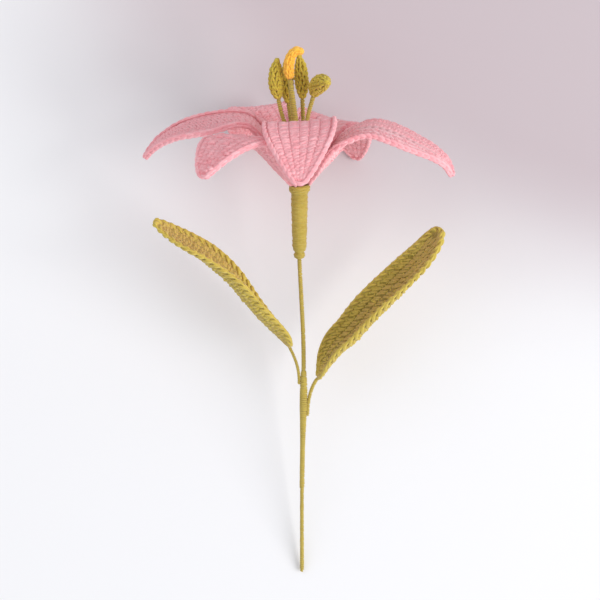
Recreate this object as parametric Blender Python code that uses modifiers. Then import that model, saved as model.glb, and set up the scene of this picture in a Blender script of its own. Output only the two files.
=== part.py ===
"""A single crocheted lily: yarn petals, leaves and stamens on wound wire stems.

The flower is drawn in its own frame: X to the right, Y up the stem from its foot, and Z out of the open
side of the right leaf. It is then laid down, so that it rests on the foot and on two petals.
"""

import math

import bmesh
import bpy
import numpy as np
from mathutils import Matrix, Vector

MM = 0.001
GAP = 0.3 * MM  # clearance between pieces that touch
OVERRUN = 1.0 * MM  # how far a cutter runs past the piece that it cuts

# Stem
STEM_AXIS = [(0, 0, 0), (0, 58.7, 0), (0.7, 105, 0), (1.0, 122.5, 0), (0.9, 160, 0), (-0.7, 194.5, 0),
             (-1.7, 217, 0), (-1.8, 243, 0), (-1.7, 266, 0)]  # mm
WIRE_RADIUS = 0.6 * MM
WIRE_FOOT = 1.2 * MM  # the wire starts this far above the yarn's closed end
WIRE_TOP = 256 * MM
BORE_RADIUS = WIRE_RADIUS + GAP
WIRE_POINTS = 14
LOWER_WINDING = {"from": 0.0, "to": 58.7 * MM, "points": 8,
                 "radii": [(0, 1.25), (2, 1.5), (20, 1.4), (58.7, 1.3)]}
BINDING = {"from": 59.0 * MM, "to": 140.7 * MM, "points": 16,
           "radii": [(59, 1.8), (88, 1.85), (104, 2.25), (116, 2.7), (124, 2.7), (134, 2.4), (140.7, 1.9)]}
UPPER_WINDING = {"from": 141.0 * MM, "to": 216.6 * MM, "points": 8, "radii": [(141, 1.6), (216.6, 1.55)]}

# Leaf stalks: from the binding up to the leaf
LEFT_STALK = [(-1.9, 131.5, 0), (-2.1, 137.5, 0), (-3.3, 144.3, 0), (-5.7, 151.3, 0),
              (-8.5, 157.2, 0)]  # mm
RIGHT_STALK = [(3.7, 110, 0), (3.9, 116.5, 0), (5.1, 123.5, 0), (7.2, 130, 0), (10.0, 135.2, 0)]  # mm
LEFT_STALK_RADIUS = 1.05 * MM
RIGHT_STALK_RADIUS = 1.25 * MM

# Bloom: heights are above the top of the neck
BLOOM_BASE = Vector((-1.7 * MM, 265.8 * MM, 0))
NECK_PROFILE = [(6.6, 0.0), (6.8, -1.6), (6.4, -3.6), (5.5, -5.5), (5.4, -15), (5.0, -25), (5.2, -31),
                (4.7, -35), (4.8, -40.5), (4.2, -43.2), (3.0, -44.4), (3.6, -46.4), (3.1, -48.2),
                (2.1, -48.8), (1.2, -48.8), (1.2, -42.6), (2.2, -42.6), (2.75, 0.0)]  # mm, closed
NECK_SIDES = 16
CORE_TOP = 1.5  # mm
CORE_BOTTOM = -42.2  # mm
CORE_TOP_RADIUS = 2.35  # mm
CORE_BOTTOM_RADIUS = 1.85  # mm
CORE_LOBES = 7
CORE_LOBE_DEPTH = 0.12
CORE_TURNS = 1.5
CORE_RINGS = 12
CORE_BORE_TOP = 9 * MM  # below the top of the neck

# Petals: midline knots are (distance from the axis, height), and azimuth turns from +X towards +Z
PETAL_TIP = [(0.5, 22.2), (0.6, 23.2), (0.7, 21.8), (0.8, 17.5), (0.9, 11.5), (0.96, 7.2), (1, 3.2)]
# Half widths are (share of length, mm) and rolls (share, degrees); a cup flattens between two shares
CUPS = {
    "outer": {"knots": [(6.2, 0.85), (12.5, 7.8), (19, 15.6), (25.8, 23.3)], "flattens": (0.24, 0.4),
              "half_widths": [(0, 2.6), (0.08, 7), (0.2, 16.5), (0.3, 20), (0.38, 21), *PETAL_TIP]},
    "inner": {"knots": [(3.7, 0.75), (8.7, 10.2), (15.2, 18.8), (22.5, 26.6)], "flattens": (0.34, 0.52),
              "half_widths": [(0, 2.6), (0.08, 5.2), (0.2, 11.2), (0.3, 14.8), (0.38, 17.5), *PETAL_TIP]},
}
PETALS = {
    "petal_right": {
        "azimuth": 8, "cup": "outer", "roll": [(0, 0), (0.35, 0), (0.5, -1), (1, -1)], "gutter": -80,
        "arch": [(29.8, 30), (34.5, 36.3), (41, 39.8), (50, 40.6), (60.4, 38), (69.4, 34), (79.7, 28.6),
                 (88.7, 23), (95.2, 16.8), (98.5, 9.5)]},
    "petal_front": {
        "azimuth": 91, "cup": "inner", "roll": [(0, 0), (0.35, 0), (0.5, -4), (1, -4)],
        "arch": [(29, 36), (36, 45), (45, 49.7), (56, 49), (67, 44.5), (77, 37), (85, 28.5), (90, 21.5)]},
    "petal_front_left": {
        "azimuth": 130, "cup": "outer", "roll": [(0, 0), (0.3, 0), (0.5, -3), (1, -3)], "gutter": -160,
        "arch": [(31, 30.5), (38, 35.5), (47, 38.5), (57, 40), (67.5, 40.5), (78, 38), (87.5, 31.5),
                 (92.5, 26), (95, 22)]},
    "petal_left": {
        "azimuth": 184, "cup": "inner", "roll": [(0, 0), (0.42, 0), (0.6, 4), (1, 3)],
        "arch": [(27.5, 34), (34, 40), (43, 41.5), (54, 39.5), (65.5, 37.3), (75.2, 35), (83, 31.8),
                 (90.2, 27.5), (96.1, 22), (99.6, 17.3)]},
    "petal_back_left": {
        "azimuth": 243, "cup": "outer", "roll": [(0, 0), (1, 0)], "width": 0.88,
        "arch": [(31, 29.5), (38, 35), (46, 39.7), (53, 41), (62, 38.5), (72, 31.5), (80, 21), (84.8, 10)]},
    "petal_back_right": {
        "azimuth": 299, "cup": "inner", "roll": [(0, 0), (0.22, 0), (0.42, -8), (1, -6)],
        "arch": [(28, 32.2), (35, 35.9), (44, 35), (54, 30.4), (64, 23.2), (73, 14.6), (79.5, 6.5), (82, 2)]},
}
PETAL_GUTTER = 260  # mm, the radius across a petal beyond the cup; a petal with a negative one is a ridge
PETAL_CREASE = math.radians(1)
PETAL_CREASE_SPAN = (0.25, 0.5)  # shares of the length between which the crease sets in
CUP_CURVE_SHARE = 1.3  # the cup's radius of curvature across a petal, over its distance from the axis

# Leaves: the midline is the bottom of the gutter
LEAVES = {
    "leaf_left": {
        "midline": [(-8.8, 157.7, 0), (-17, 166, 1), (-30.8, 181.2, 2), (-45.6, 200.3, 3),
                    (-61.7, 216.4, 3), (-80, 230.1, 2), (-95.6, 242.4, 1)],
        "roll": [(0, -105), (0.45, -90), (1, -60)], "gutter": 15,
        "half_widths": [(0, 6.2), (0.03, 10.5), (0.08, 13.8), (0.2, 15.8), (0.35, 16.5), (0.5, 16.5),
                        (0.65, 15), (0.8, 11.7), (0.9, 8.2), (0.96, 5.6), (1, 2.8)]},
    "leaf_right": {
        "midline": [(10.3, 135.8, 0), (23.8, 154.8, 2), (34.9, 165.6, 3), (47.6, 180.7, 3),
                    (64.6, 198.8, 3), (79.8, 217, 2), (90, 236.2, 0)],
        "roll": [(0, 74), (0.2, 70), (0.5, 64), (0.8, 58), (1, 50)], "gutter": 13.5,
        "half_widths": [(0, 3.4), (0.04, 8.5), (0.1, 13), (0.2, 16.3), (0.35, 18), (0.5, 18),
                        (0.65, 17), (0.8, 14.4), (0.9, 11), (0.96, 7.8), (1, 3.8)]},
}

# Crochet relief of petals and leaves: across a half, the share of its width and the fabric's thickness
ROWS_ACROSS = [(0, 1.6), (0.23, 2.8), (0.46, 1.6), (0.65, 2.7), (0.84, 1.5), (0.93, 3.1), (1, 1.4)]
STEPS_ALONG = 26
RIM_BEAD = 0.18  # share by which the rim's thickness and width swell and shrink from step to step
ROOT_THICKNESS = 0.6  # share of the full thickness at a root
ROOT_SHARE = 0.12  # share of the length over which a root thickens
RIM_FROM = 0.9  # share of the half width at which the rim starts
RIM_WAVE = 0.02  # share by which the rim waves in and out from step to step

# Stamens and pistil: knots in the bloom's frame, mm
FILAMENTS = {
    "filament_1": [(-2.1, 2.0, 0.3), (-4.8, 17, 0.3), (-8.3, 36, 0.6), (-11.6, 48, 1), (-13.5, 56.5, 1)],
    "filament_2": [(-0.9, 2.0, -1.8), (-2.8, 20, -4), (-5.0, 38, -6), (-6.9, 52, -7)],
    "filament_3": [(1.6, 2.0, -1.3), (2.2, 20, -2), (2.4, 40, -2), (2.0, 56, -2)],
    "filament_4": [(1.4, 2.0, 1.4), (3.0, 22, 3), (5.0, 44, 4), (8.8, 59.4, 6)],
}
FILAMENT_RADII = [(0, 0.8), (0.2, 1.2), (1, 1.5)]  # share of length, mm
ANTHERS = {
    "anther_1": {"to": (-14.2, 82.7, 1), "half_width": 4.9, "half_depth": 3.6},
    "anther_2": {"to": (-6.0, 84, -10), "half_width": 4.4, "half_depth": 3.6},
    "anther_3": {"to": (-0.2, 85, -2), "half_width": 4.6, "half_depth": 3.8},
    "anther_4": {"to": (17.2, 71.8, 24), "half_width": 5.8, "half_depth": 5.8},
}
PISTIL_STALK = [(-0.3, 2.0, 0.2), (-0.9, 20, 2.6), (-2.6, 40, 4.2), (-4.4, 56, 5), (-6.0, 70.2, 5.5)]
PISTIL_STALK_RADII = [(0, 0.8), (0.12, 0.95), (0.35, 1.9), (0.6, 2.2), (1, 1.7)]
PISTIL_TIP = [(-6.1, 70.9, 5.5), (-6.9, 76.5, 6), (-6.5, 82.3, 6.5), (-4.7, 86.8, 7), (-1.5, 89.2, 7.5),
              (2.0, 88.0, 8)]
PISTIL_TIP_RADII = [(0, 2.2), (0.08, 3.4), (0.3, 3.7), (0.65, 3.5), (0.9, 2.9), (1, 1.7)]
PISTIL_TIP_BEADS = 5
PISTIL_TIP_RELIEF = 0.06
RINGS_A_BEAD = 4
STALK_STEPS = 8
ANTHER_SIDES = 14
ANTHER_RINGS = 12
ANTHER_PROFILE = [(0, 0.33), (0.12, 0.72), (0.3, 0.96), (0.5, 1.0), (0.7, 0.88), (0.86, 0.62), (0.95, 0.36),
                  (1, 0.2)]  # share of length, share of half width
ANTHER_RING_RELIEF = 0.07
ANTHER_RIB_RELIEF = 0.06
ANTHER_END_RADIUS = 1.7  # mm, the flat end that meets the filament
ANTHER_PULL = 0.5  # how far an anther's midline is drawn along its filament's direction

# Lying down: the foot and the bloom are below and above these shares of the stem
FOOT_SHARE = 0.1
BLOOM_SHARE = 0.9
SETTLING_ROUNDS = 12

FINISHES = {  # colour, roughness, metallic
    "pink_yarn": ((0.80, 0.38, 0.43), 0.9, 0.0),
    "green_yarn": ((0.50, 0.41, 0.10), 0.9, 0.0),
    "orange_yarn": ((0.93, 0.50, 0.06), 0.9, 0.0),
    "steel_wire": ((0.45, 0.45, 0.46), 0.4, 1.0),
}


def smooth_line(knots, steps=24):
    """Points on a smooth curve through the knots, which may have two or three coordinates."""
    knots = [Vector(knot) for knot in knots]
    knots = [2 * knots[0] - knots[1], *knots, 2 * knots[-1] - knots[-2]]
    points = []
    for before, start, end, after in zip(knots, knots[1:], knots[2:], knots[3:]):
        for step in range(steps):
            u = step / steps
            bend = (2 * before - 5 * start + 4 * end - after) * u * u
            twist = (3 * start - before - 3 * end + after) * u**3
            points.append((2 * start + (end - before) * u + bend + twist) / 2)
    points.append(knots[-2])
    return np.array([tuple(point) for point in points])


def table(pairs, share):
    """The value at a share of the length, on a smooth line through (share, value) pairs."""
    line = smooth_line([(x, y) for x, y in pairs])
    return float(np.interp(share, line[:, 0], line[:, 1]))


class Route:
    """A smooth line in space that can be read at any share of its length."""

    def __init__(self, knots):
        self.points = smooth_line([Vector(knot) for knot in knots])
        steps = np.linalg.norm(np.diff(self.points, axis=0), axis=1)
        self.at = np.concatenate([[0], np.cumsum(steps)])
        self.length = float(self.at[-1])

    def point(self, share):
        wanted = share * self.length
        return Vector([float(np.interp(wanted, self.at, self.points[:, axis])) for axis in range(3)])

    def tangent(self, share, reach=0.01):
        low, high = max(0, share - reach), min(1, share + reach)
        return (self.point(high) - self.point(low)).normalized()

    def share_at_height(self, height):
        """The share at which the line reaches a height along Y."""
        return float(np.interp(height, self.points[:, 1], self.at)) / self.length


class Blade:
    """A gutter-shaped sheet along a midline: the form of a petal or a leaf."""

    def __init__(self, route, side, half_widths, curve_radius, crease, roll):
        self.route = route
        self.side = side  # direction across the blade
        self.half_widths = half_widths
        self.curve_radius = curve_radius  # radius across the blade, as a function of the share
        self.crease = crease
        self.roll = roll  # pairs of share and degrees

    def half_width(self, share):
        return table(self.half_widths, share) * MM

    def point(self, share, across):
        """A point of the middle surface, at a distance across it from the midline."""
        tangent = self.route.tangent(share)
        side = (self.side - tangent * tangent.dot(self.side)).normalized()
        inward = side.cross(tangent)
        radius = self.curve_radius(share)
        angle = abs(across) / radius
        flat = Vector((radius * math.sin(angle), radius * (1 - math.cos(angle))))
        crease = self.crease(share)
        out = flat.x * math.cos(crease) - flat.y * math.sin(crease)
        rise = flat.x * math.sin(crease) + flat.y * math.cos(crease)
        out = math.copysign(out, across)
        roll = math.radians(table(self.roll, share))
        along_side = out * math.cos(roll) - rise * math.sin(roll)
        along_inward = out * math.sin(roll) + rise * math.cos(roll)
        return self.route.point(share) + side * along_side + inward * along_inward


def ease(value, start, end):
    """0 before start, 1 after end, and smooth between."""
    share = min(1, max(0, (value - start) / (end - start)))
    return share * share * (3 - 2 * share)


def petal_blade(petal):
    azimuth = math.radians(petal["azimuth"])
    outward = Vector((math.cos(azimuth), 0, math.sin(azimuth)))
    side = Vector((-math.sin(azimuth), 0, math.cos(azimuth)))
    cup = CUPS[petal["cup"]]
    knots = [BLOOM_BASE + (outward * reach + Vector((0, height, 0))) * MM
             for reach, height in cup["knots"] + petal["arch"]]
    route = Route(knots)
    gutter = petal.get("gutter", PETAL_GUTTER) * MM

    def curve_radius(share):
        flat = ease(share, *cup["flattens"])
        reach = (route.point(share) - BLOOM_BASE).dot(outward)
        return 1 / ((1 - flat) / (reach * CUP_CURVE_SHARE) + flat / gutter)

    def crease(share):
        return PETAL_CREASE * ease(share, *PETAL_CREASE_SPAN)

    half_widths = [(share, width * petal.get("width", 1)) for share, width in cup["half_widths"]]
    return Blade(route, side, half_widths, curve_radius, crease, petal["roll"])


def leaf_blade(leaf):
    route = Route([Vector(knot) * MM for knot in leaf["midline"]])
    side = route.tangent(0.5).cross(Vector((0, 0, 1)))
    return Blade(route, side, leaf["half_widths"], lambda share: leaf["gutter"] * MM, lambda share: 0.0,
                 leaf["roll"])


def collection(name, hidden=False):
    made = bpy.data.collections.new(name)
    bpy.context.scene.collection.children.link(made)
    made.hide_render = hidden
    return made


def material(name, colour, roughness, metallic):
    made = bpy.data.materials.new(name)
    made.use_nodes = True
    shader = made.node_tree.nodes["Principled BSDF"]
    shader.inputs["Base Color"].default_value = (*colour, 1)
    shader.inputs["Roughness"].default_value = roughness
    shader.inputs["Metallic"].default_value = metallic
    return made


def add_object(name, data, finish, into):
    made = bpy.data.objects.new(name, data)
    if finish is not None:
        data.materials.append(finish)
    into.objects.link(made)
    return made


def sheet(name, blade, finish, into):
    """The blade as crocheted fabric: a grid on its middle surface, thickened by rows and rim."""
    columns = [(-share, thick) for share, thick in reversed(ROWS_ACROSS[1:])] + ROWS_ACROSS
    thickest = max(thick for _, thick in ROWS_ACROSS) * (1 + RIM_BEAD)
    grid = bmesh.new()
    bmesh.ops.create_grid(grid, x_segments=len(columns) - 1, y_segments=STEPS_ALONG, size=0.5)
    weights = grid.verts.layers.deform.verify()
    for vertex in grid.verts:
        column = round((vertex.co.x + 0.5) * (len(columns) - 1))
        step = round((vertex.co.y + 0.5) * STEPS_ALONG)
        share = step / STEPS_ALONG
        across, thick = columns[column]
        bead = 1 + RIM_BEAD * (1 if step % 2 else -1)
        in_rim = abs(across) > RIM_FROM
        root = ROOT_THICKNESS + (1 - ROOT_THICKNESS) * ease(share, 0, ROOT_SHARE)
        wave = RIM_WAVE * (1 if step % 2 else -1)
        width = blade.half_width(share) * (1 + wave * in_rim)
        vertex.co = blade.point(share, across * width)
        vertex[weights][0] = thick / thickest * root * (bead if in_rim else 1)
    bmesh.ops.recalc_face_normals(grid, faces=grid.faces)
    mesh = bpy.data.meshes.new(name)
    grid.to_mesh(mesh)
    grid.free()
    made = add_object(name, mesh, finish, into)
    made.vertex_groups.new(name="thickness")
    solidify = made.modifiers.new("thickness", "SOLIDIFY")
    solidify.thickness = thickest * MM
    solidify.offset = 0
    solidify.vertex_group = "thickness"
    return made


def tube(name, points, radii, finish, into, sides=8):
    """A tube along points, with a radius at each of them."""
    curve = bpy.data.curves.new(name, "CURVE")
    curve.dimensions = "3D"
    curve.bevel_depth = 1
    curve.bevel_resolution = (sides - 4) // 2
    curve.use_fill_caps = True
    spline = curve.splines.new("POLY")
    spline.points.add(len(points) - 1)
    for place, point, radius in zip(spline.points, points, radii):
        place.co = (*point, 1)
        place.radius = radius
    return add_object(name, curve, finish, into)


def as_mesh(curve_object, into):
    """The curve object turned into a closed mesh object of the same name."""
    bpy.context.view_layer.update()
    evaluated = curve_object.evaluated_get(bpy.context.evaluated_depsgraph_get())
    mesh = bpy.data.meshes.new_from_object(evaluated)
    closed = bmesh.new()
    closed.from_mesh(mesh)
    bmesh.ops.remove_doubles(closed, verts=closed.verts, dist=0.01 * MM)
    closed.to_mesh(mesh)
    closed.free()
    name = curve_object.name
    bpy.data.objects.remove(curve_object)
    made = bpy.data.objects.new(name, mesh)
    into.objects.link(made)
    return made


def cut(target, cutter):
    cutter.hide_render = True
    cutter.display_type = "WIRE"
    boolean = target.modifiers.new(cutter.name, "BOOLEAN")
    boolean.operation = "DIFFERENCE"
    boolean.object = cutter


def stem_axis():
    return Route([Vector(knot) * MM for knot in STEM_AXIS])


def stretch(axis, start, end, count):
    """Points along the stem from one height to another."""
    first, last = axis.share_at_height(start), axis.share_at_height(end)
    return [axis.point(first + (last - first) * step / (count - 1)) for step in range(count)]


def winding(name, axis, size, finish, into, cutters):
    """Yarn wound round the stem wire: a sleeve with a bore for the wire."""
    count = size["points"]
    points = stretch(axis, size["from"], size["to"], count)
    radii = [float(np.interp(point.y / MM, *zip(*size["radii"]))) * MM for point in points]
    made = as_mesh(tube(name, points, radii, finish, into, sides=12), into)
    bore_from = WIRE_FOOT - GAP if size["from"] == 0 else size["from"] - OVERRUN
    bore_points = stretch(axis, bore_from, size["to"] + OVERRUN, count)
    cut(made, as_mesh(tube(name + "_bore", bore_points, [BORE_RADIUS] * count, None, cutters), cutters))
    return made


def stalk(name, knots, radius, finish, into, cutters, binding):
    """A wound leaf stalk, seated in a socket of the binding."""
    route = Route([Vector(knot) * MM for knot in knots])
    points = [route.point(step / STALK_STEPS) for step in range(STALK_STEPS + 1)]
    tube(name, points, [radius] * len(points), finish, into)
    below = [points[0] - route.tangent(0) * GAP, *points]
    socket = tube(name + "_socket", below, [radius + GAP] * len(below), None, cutters)
    cut(binding, as_mesh(socket, cutters))


def neck_core(finish, into, cutters):
    """The wire tails of petals and stamens, twisted into one bundle round the top of the stem wire."""
    bundle = bmesh.new()
    bmesh.ops.create_cone(bundle, cap_ends=True, segments=CORE_LOBES * 3, radius1=CORE_BOTTOM_RADIUS * MM,
                          radius2=CORE_TOP_RADIUS * MM, depth=1)
    uprights = [edge for edge in bundle.edges if abs(edge.verts[0].co.z - edge.verts[1].co.z) > 0.5]
    bmesh.ops.subdivide_edges(bundle, edges=uprights, cuts=CORE_RINGS - 1)
    for vertex in bundle.verts:
        share = vertex.co.z + 0.5
        around = math.atan2(vertex.co.y, vertex.co.x)
        groove = CORE_LOBE_DEPTH / 2 * (1 + math.cos(around * CORE_LOBES))
        reach = math.hypot(vertex.co.x, vertex.co.y) * (1 - groove)
        turned = around + math.tau * CORE_TURNS * share
        height = (CORE_BOTTOM + (CORE_TOP - CORE_BOTTOM) * share) * MM
        vertex.co = BLOOM_BASE + Vector((reach * math.cos(turned), height, -reach * math.sin(turned)))
    bmesh.ops.recalc_face_normals(bundle, faces=bundle.faces)
    mesh = bpy.data.meshes.new("wire_tail_bundle")
    bundle.to_mesh(mesh)
    bundle.free()
    made = add_object("wire_tail_bundle", mesh, finish, into)
    lowest = BLOOM_BASE.y + CORE_BOTTOM * MM - OVERRUN
    points = stretch(stem_axis(), lowest, BLOOM_BASE.y - CORE_BORE_TOP, STALK_STEPS)
    cut(made, as_mesh(tube("bundle_bore", points, [BORE_RADIUS] * STALK_STEPS, None, cutters), cutters))


def neck_winding(finish, into):
    """Yarn wound over the bundle below the bloom: a turned sleeve."""
    profile = bmesh.new()
    corners = [profile.verts.new((radius * MM, height * MM, 0)) for radius, height in NECK_PROFILE]
    for start, end in zip(corners, corners[1:] + corners[:1]):
        profile.edges.new((start, end))
    mesh = bpy.data.meshes.new("neck_winding")
    profile.to_mesh(mesh)
    profile.free()
    made = add_object("neck_winding", mesh, finish, into)
    made.location = BLOOM_BASE
    screw = made.modifiers.new("turn", "SCREW")
    screw.axis = "Y"
    screw.steps = NECK_SIDES
    screw.render_steps = NECK_SIDES
    screw.use_merge_vertices = True
    screw.merge_threshold = 0.01 * MM
    screw.use_normal_calculate = True
    return made


def bloom_route(knots):
    return Route([BLOOM_BASE + Vector(knot) * MM for knot in knots])


def anther(name, filament, anther_size, finish, into):
    """A crocheted anther: a ridged, flattened spindle that meets its filament with a small flat end."""
    start = filament.point(1) + filament.tangent(1) * GAP
    end = BLOOM_BASE + Vector(anther_size["to"]) * MM
    pull = start + filament.tangent(1) * (end - start).length * ANTHER_PULL
    shares = [step / 4 for step in range(5)]
    midline = Route([start * (1 - u) ** 2 + pull * 2 * u * (1 - u) + end * u * u for u in shares])
    spindle = bmesh.new()
    bmesh.ops.create_uvsphere(spindle, u_segments=ANTHER_SIDES, v_segments=ANTHER_RINGS, radius=1)
    for vertex in spindle.verts:
        share = math.acos(max(-1, min(1, -vertex.co.z))) / math.pi
        around = math.atan2(vertex.co.y, vertex.co.x)
        ring = round(share * ANTHER_RINGS)
        along = max(0, ring - 1) / (ANTHER_RINGS - 1)
        swell = table(ANTHER_PROFILE, along)
        swell *= 1 + ANTHER_RING_RELIEF * (1 if ring % 2 else -1)
        swell *= 1 + ANTHER_RIB_RELIEF * math.cos(around * ANTHER_SIDES / 2)
        at_pole = ring in (0, ANTHER_RINGS)
        wide = 0 if at_pole else max(swell * anther_size["half_width"], ANTHER_END_RADIUS) * MM
        deep = 0 if at_pole else max(swell * anther_size["half_depth"], ANTHER_END_RADIUS) * MM
        axis = midline.tangent(along) if along > 0 else filament.tangent(1)
        across = axis.cross(Vector((0, 0, 1))).normalized()
        place = across * wide * math.cos(around) - across.cross(axis) * deep * math.sin(around)
        vertex.co = midline.point(along) + place
    bmesh.ops.recalc_face_normals(spindle, faces=spindle.faces)
    mesh = bpy.data.meshes.new(name)
    spindle.to_mesh(mesh)
    spindle.free()
    add_object(name, mesh, finish, into)


def swelling_tube(name, knots, radii, finish, into, steps, sides, relief=0.0):
    """A tube whose radius follows a table, with rings that swell and shrink by the relief."""
    route = bloom_route(knots)
    points = [route.point(step / steps) for step in range(steps + 1)]
    rings = [1 + relief * math.cos(math.tau * step / RINGS_A_BEAD) for step in range(steps + 1)]
    sizes = [table(radii, step / steps) * MM * ring for step, ring in enumerate(rings)]
    tube(name, points, sizes, finish, into, sides)


def stamens(green, orange, into):
    for index, (name, knots) in enumerate(FILAMENTS.items(), 1):
        swelling_tube(name, knots, FILAMENT_RADII, green, into, STALK_STEPS, sides=8)
        anther(f"anther_{index}", bloom_route(knots), ANTHERS[f"anther_{index}"], green, into)
    swelling_tube("pistil_stalk", PISTIL_STALK, PISTIL_STALK_RADII, green, into, STALK_STEPS, sides=10)
    swelling_tube("pistil_tip", PISTIL_TIP, PISTIL_TIP_RADII, orange, into, PISTIL_TIP_BEADS * RINGS_A_BEAD,
                  sides=12, relief=PISTIL_TIP_RELIEF)


def lay_down(parts):
    """Turns the flower so that it lies on its foot and on the lowest petals at either side."""
    bpy.context.view_layer.update()
    graph = bpy.context.evaluated_depsgraph_get()
    clouds = []
    for part in parts.objects:
        evaluated = part.evaluated_get(graph)
        mesh = evaluated.to_mesh()
        clouds += [tuple(evaluated.matrix_world @ vertex.co) for vertex in mesh.vertices]
        evaluated.to_mesh_clear()
    points = np.array(clouds)
    foot = points[points[:, 1] < FOOT_SHARE * BLOOM_BASE.y]
    bloom = points[points[:, 1] > BLOOM_SHARE * BLOOM_BASE.y]
    groups = [foot, bloom[bloom[:, 0] < 0], bloom[bloom[:, 0] > 0]]
    up = Vector((0, 0, 1))
    for _ in range(SETTLING_ROUNDS):
        lowest = [Vector(group[np.argmin(group @ np.array(up))]) for group in groups]
        up = (lowest[2] - lowest[0]).cross(lowest[1] - lowest[0]).normalized()
    ahead = (Vector((0, 1, 0)) - up * up.y).normalized()
    turn = Matrix((ahead.cross(up), ahead, up))
    laid = points @ np.array(turn).T
    low, high = laid.min(axis=0), laid.max(axis=0)
    shift = -Vector(((low[0] + high[0]) / 2, (low[1] + high[1]) / 2, low[2]))
    rest = bpy.data.objects.new("lying_flower", None)
    bpy.context.scene.collection.objects.link(rest)
    rest.matrix_world = Matrix.Translation(shift) @ turn.to_4x4()
    for part in list(bpy.data.objects):
        if part is not rest:
            part.parent = rest
    bpy.context.view_layer.update()


def main():
    for old in list(bpy.data.objects):
        bpy.data.objects.remove(old)
    parts = collection("crocheted_lily")
    cutters = collection("cutters", hidden=True)
    finish = {name: material(name, *values) for name, values in FINISHES.items()}
    green, pink, steel = finish["green_yarn"], finish["pink_yarn"], finish["steel_wire"]

    axis = stem_axis()
    wire = stretch(axis, WIRE_FOOT, WIRE_TOP, WIRE_POINTS)
    tube("stem_wire", wire, [WIRE_RADIUS] * len(wire), steel, parts)
    winding("lower_winding", axis, LOWER_WINDING, green, parts, cutters)
    binding = winding("leaf_binding", axis, BINDING, green, parts, cutters)
    winding("upper_winding", axis, UPPER_WINDING, green, parts, cutters)
    stalk("left_leaf_stalk", LEFT_STALK, LEFT_STALK_RADIUS, green, parts, cutters, binding)
    stalk("right_leaf_stalk", RIGHT_STALK, RIGHT_STALK_RADIUS, green, parts, cutters, binding)
    neck_core(steel, parts, cutters)
    neck_winding(green, parts)
    for name, petal in PETALS.items():
        sheet(name, petal_blade(petal), pink, parts)
    for name, leaf in LEAVES.items():
        sheet(name, leaf_blade(leaf), green, parts)
    stamens(green, finish["orange_yarn"], parts)
    lay_down(parts)


main()
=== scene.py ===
"""Crocheted lily stem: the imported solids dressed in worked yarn.

Sizes are millimetres in the flower's own frame: the stem runs up +Y from its foot at the origin and
+Z faces the viewer. to_world turns that frame to how the flower lies on the floor.
"""
import math

import bmesh
import bpy
import numpy as np
from bpy.props import FloatProperty, FloatVectorProperty, PointerProperty
from bpy.types import Operator, Panel, PropertyGroup
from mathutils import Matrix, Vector


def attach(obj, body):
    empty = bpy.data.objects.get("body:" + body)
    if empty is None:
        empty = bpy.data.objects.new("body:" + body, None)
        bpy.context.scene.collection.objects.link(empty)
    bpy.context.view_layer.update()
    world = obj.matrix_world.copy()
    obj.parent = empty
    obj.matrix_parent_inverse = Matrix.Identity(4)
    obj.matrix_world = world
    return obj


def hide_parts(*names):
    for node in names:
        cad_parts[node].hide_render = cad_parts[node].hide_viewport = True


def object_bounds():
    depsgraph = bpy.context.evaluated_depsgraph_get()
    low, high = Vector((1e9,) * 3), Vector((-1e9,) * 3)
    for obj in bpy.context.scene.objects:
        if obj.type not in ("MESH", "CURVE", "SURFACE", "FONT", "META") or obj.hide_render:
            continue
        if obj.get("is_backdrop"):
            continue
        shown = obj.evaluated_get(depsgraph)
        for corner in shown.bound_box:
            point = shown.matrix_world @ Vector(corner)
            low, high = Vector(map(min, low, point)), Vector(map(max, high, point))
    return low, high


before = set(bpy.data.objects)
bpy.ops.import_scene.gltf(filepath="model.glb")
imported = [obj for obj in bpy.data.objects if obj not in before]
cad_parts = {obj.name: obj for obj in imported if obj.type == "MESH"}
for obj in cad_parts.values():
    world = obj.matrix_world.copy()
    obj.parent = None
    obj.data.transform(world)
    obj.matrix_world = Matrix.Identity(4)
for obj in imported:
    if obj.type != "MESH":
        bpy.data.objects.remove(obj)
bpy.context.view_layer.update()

bl_info = {
    "name": "Crocheted Lily Stem",
    "version": (1, 0, 0),
    "blender": (4, 5, 0),
    "location": "3D View > Sidebar > Lily",
    "description": "Works the petals, leaves, stamens and stem of a lily in crocheted and wound yarn",
    "category": "Object",
}

MM = 0.001

# How the flower lies: the direction that ends up on top, in the flower's frame, and the shift after it
LYING_UP = (-0.0177999, 0.2646026, 0.9641932)
LYING_SHIFT = (2.3105, -171.5618, 1.2052)

# Stem, from the foot: knots of the axis, and yarn sleeves with a radius at each height
STEM_AXIS = [(0, 0, 0), (0, 58.7, 0), (0.7, 105, 0), (1.0, 122.5, 0), (0.9, 160, 0), (-0.7, 194.5, 0),
             (-1.7, 217, 0), (-1.8, 243, 0), (-1.7, 266, 0)]
SLEEVES = {
    "lower_winding": [(0, 0.95), (0.6, 1.35), (2.5, 1.5), (20, 1.5), (45, 1.45), (58.7, 1.4)],
    "leaf_binding": [(59, 1.8), (88, 1.85), (104, 2.25), (116, 2.7), (124, 2.7), (134, 2.4),
                     (140.7, 1.9)],
    "upper_winding": [(141, 1.6), (180, 1.58), (216.6, 1.55)],
}
LEAF_STALKS = {
    "left_leaf_stalk": ([(-1.9, 131.5, 0), (-2.1, 137.5, 0), (-3.3, 144.3, 0), (-5.7, 151.3, 0),
                         (-8.5, 157.2, 0)], 1.15),
    "right_leaf_stalk": ([(3.7, 110, 0), (3.9, 116.5, 0), (5.1, 123.5, 0), (7.2, 130, 0),
                          (10.0, 135.2, 0)], 1.35),
}

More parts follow.
